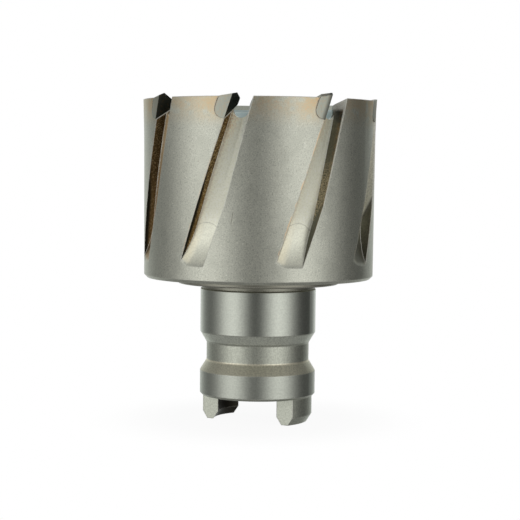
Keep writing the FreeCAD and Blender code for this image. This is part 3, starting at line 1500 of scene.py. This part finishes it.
@dataclass(frozen=True)
class PhotoCamera:
    """Camera at the photograph's place, in millimetres, degrees and pixels.

    It stands in front of the cutter, the turn round from -Y towards +X.
    """

    turn: float = 28.0
    sideways: float = 0.409
    distance: float = 422.345
    height: float = 69.983
    pitch: float = 3.46
    roll: float = 0.582
    focal_pixels: float = 1523.93
    image_pixels: float = 520.0
    sensor: float = 36.0
    clip_start: float = 10.0
    clip_end: float = 20000.0

    def away(self) -> Vector:
        """Level direction from the camera to the cutter."""
        turn = math.radians(self.turn)
        return Vector((-math.sin(turn), math.cos(turn), 0.0))

    def right(self) -> Vector:
        """Level direction to the camera's right."""
        turn = math.radians(self.turn)
        return Vector((math.cos(turn), math.sin(turn), 0.0))

    def make(self) -> None:
        """Create the camera and make it the scene's."""
        data = bpy.data.cameras.new("photo_camera")
        data.sensor_width = self.sensor
        data.lens = self.focal_pixels / self.image_pixels * self.sensor
        data.clip_start = self.clip_start * MM
        data.clip_end = self.clip_end * MM
        camera = bpy.data.objects.new("photo_camera", data)
        bpy.context.scene.collection.objects.link(camera)
        place = self.right() * self.sideways - self.away() * self.distance
        camera.location = (place + Vector((0.0, 0.0, self.height))) * MM
        tilt = math.radians(QUARTER_TURN - self.pitch)
        level = Euler((tilt, 0.0, math.radians(self.turn))).to_matrix()
        rolled = level @ Matrix.Rotation(math.radians(self.roll), 3, "Z")
        camera.rotation_euler = rolled.to_euler()
        bpy.context.scene.camera = camera


@dataclass(frozen=True)
class Studio:
    """White floor and soft light round the cutter.

    Each ring stop gives the light's brightness at an angle round the cutter, where 0 is
    behind the camera and positive is to its right. Spans of rise and nearness are parts of a
    unit direction, upward and towards the camera.
    """

    camera: PhotoCamera
    ring: tuple[tuple[float, float], ...] = (
        (-180.0, 0.95),
        (-150.0, 0.72),
        (-128.0, 0.26),
        (-106.0, 0.14),
        (-86.0, 0.36),
        (-66.0, 1.02),
        (-46.0, 1.24),
        (-28.0, 0.62),
        (-14.0, 0.09),
        (4.0, 0.08),
        (20.0, 0.66),
        (38.0, 1.28),
        (56.0, 1.05),
        (74.0, 0.36),
        (90.0, 0.09),
        (122.0, 0.05),
        (142.0, 0.38),
        (160.0, 0.80),
        (180.0, 0.95),
    )
    overhead: float = 0.30
    overhead_rise: Span = (0.25, 0.80)
    below: float = 0.24
    below_rise: Span = (-0.2, -0.75)
    white_nearness: Span = (-0.80, -0.95)
    behind_tint: Colour = (0.96, 1.0, 0.98)
    tint_nearness: Span = (-0.2, -0.8)
    floor_reach: float = 6000.0
    floor_colour: Colour = (0.9, 0.9, 0.9)
    under_white: float = 0.94
    shadow_radii: Span = (20.0, 50.0)

    @staticmethod
    def _seen(graph: Graph) -> tuple[Number, Number]:
        """Whether the ray comes from the camera or through glass, and whether from a mirror.

        Args:
            graph: The material's or the world's graph.

        Returns:
            Two numbers, 1 for a seen ray and 1 for a mirrored one.
        """
        path = graph.node("ShaderNodeLightPath")
        seen = graph.number(path, "Is Camera Ray") + graph.number(path, "Is Transmission Ray")
        return seen, graph.number(path, "Is Glossy Ray")

    def _ring_level(self, graph: Graph, sideways: Number, nearness: Number) -> Number:
        """Brightness of the ring of light.

        Args:
            graph: The world's graph.
            sideways: The direction's part to the camera's right.
            nearness: The direction's part towards the camera.

        Returns:
            The brightness.
        """
        angle = sideways.arctan2(nearness) * math.degrees(1.0)
        turn = (angle + HALF_TURN) * (1 / FULL_TURN)
        stops = [((stop + HALF_TURN) / FULL_TURN, (level,) * 3) for stop, level in self.ring]
        return graph.number(graph.node("ShaderNodeValToRGB", {"stops": stops}, {"Fac": turn}))

    def light(self) -> None:
        """Fill the world with soft light that is white where the camera looks."""
        world = bpy.data.worlds.new("studio")
        bpy.context.scene.world = world
        world.use_nodes = True
        graph = Graph(world.node_tree)
        direction = graph.node("ShaderNodeTexCoord").outputs["Generated"]
        parts = graph.node("ShaderNodeSeparateXYZ", None, {0: direction})
        x, y, rise = (graph.number(parts, index) for index in range(3))
        right, toward = self.camera.right(), -self.camera.away()
        sideways = x * right.x + y * right.y
        nearness = x * toward.x + y * toward.y
        level = self._ring_level(graph, sideways, nearness)
        level = level + (self.overhead - level) * rise.ramp(*self.overhead_rise)
        level = level + (self.below - level) * rise.ramp(*self.below_rise)
        seen, mirrored = self._seen(graph)
        white = seen + mirrored * nearness.ramp(*self.white_nearness)
        strength = level + (1.0 - level) * white
        behind = nearness.ramp(*self.tint_nearness) * (1 - seen)
        tint = graph.mix(behind, WHITE, self.behind_tint)
        background = graph.node(
            "ShaderNodeBackground", None, {"Color": tint, "Strength": strength}
        )
        graph.node("ShaderNodeOutputWorld", None, {"Surface": background.outputs[0]})

    def lay_floor(self) -> None:
        """Lay the floor that the cutter stands on."""
        reach = self.floor_reach * MM
        corners = [(-reach, -reach, 0), (reach, -reach, 0), (reach, reach, 0), (-reach, reach, 0)]
        mesh = bpy.data.meshes.new("floor")
        mesh.from_pydata(corners, [], [(0, 1, 2, 3)])
        floor = bpy.data.objects.new("floor", mesh)
        bpy.context.scene.collection.objects.link(floor)
        paint(floor, self._floor_white())
        floor.visible_glossy = False

    def _floor_white(self) -> bpy.types.Material:
        """White to the camera, all but under the cutter, where some shadow shows."""
        material, graph = new_material("floor_white")
        diffuse = graph.node("ShaderNodeBsdfDiffuse", None, {"Color": self.floor_colour})
        white = graph.node("ShaderNodeEmission", None, {"Color": WHITE})
        radius = SurfacePlace(graph).radius.ramp(*self.shadow_radii)
        seen, _ = self._seen(graph)
        factor = seen * (self.under_white + radius * (1 - self.under_white))
        mixed = graph.node(
            "ShaderNodeMixShader", None, {0: factor, 1: diffuse.outputs[0], 2: white.outputs[0]}
        )
        graph.node("ShaderNodeOutputMaterial", None, {"Surface": mixed.outputs[0]})
        return material


def numbered(nodes: dict[str, bpy.types.Object], stem: str) -> list[bpy.types.Object]:
    """The nodes whose names start with a stem, in order."""
    return [nodes[name] for name in sorted(nodes) if name.startswith(stem)]


def main() -> None:
    """Dress the cutter and set up its light and camera."""
    logging.basicConfig(level=logging.INFO, format="%(name)s: %(message)s")
    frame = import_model()
    nodes = frame["nodes"]
    teeth = ToothPattern()
    CutterBody(nodes["cutter_body"], teeth).dress()
    log.info("dressed cutter_body")
    tips = CarbideTips(numbered(nodes, "carbide_tip"), teeth)
    tips.dress()
    log.info("dressed %d carbide tips", len(tips.nodes))
    seams = BrazeSeams(numbered(nodes, "braze_seam"))
    seams.dress()
    log.info("dressed %d braze seams", len(seams.nodes))
    camera = PhotoCamera()
    camera.make()
    studio = Studio(camera)
    studio.light()
    studio.lay_floor()
    log.info("made camera, light and floor")
    bpy.context.scene.view_settings.view_transform = "Standard"


if __name__ == "__main__":
    main()
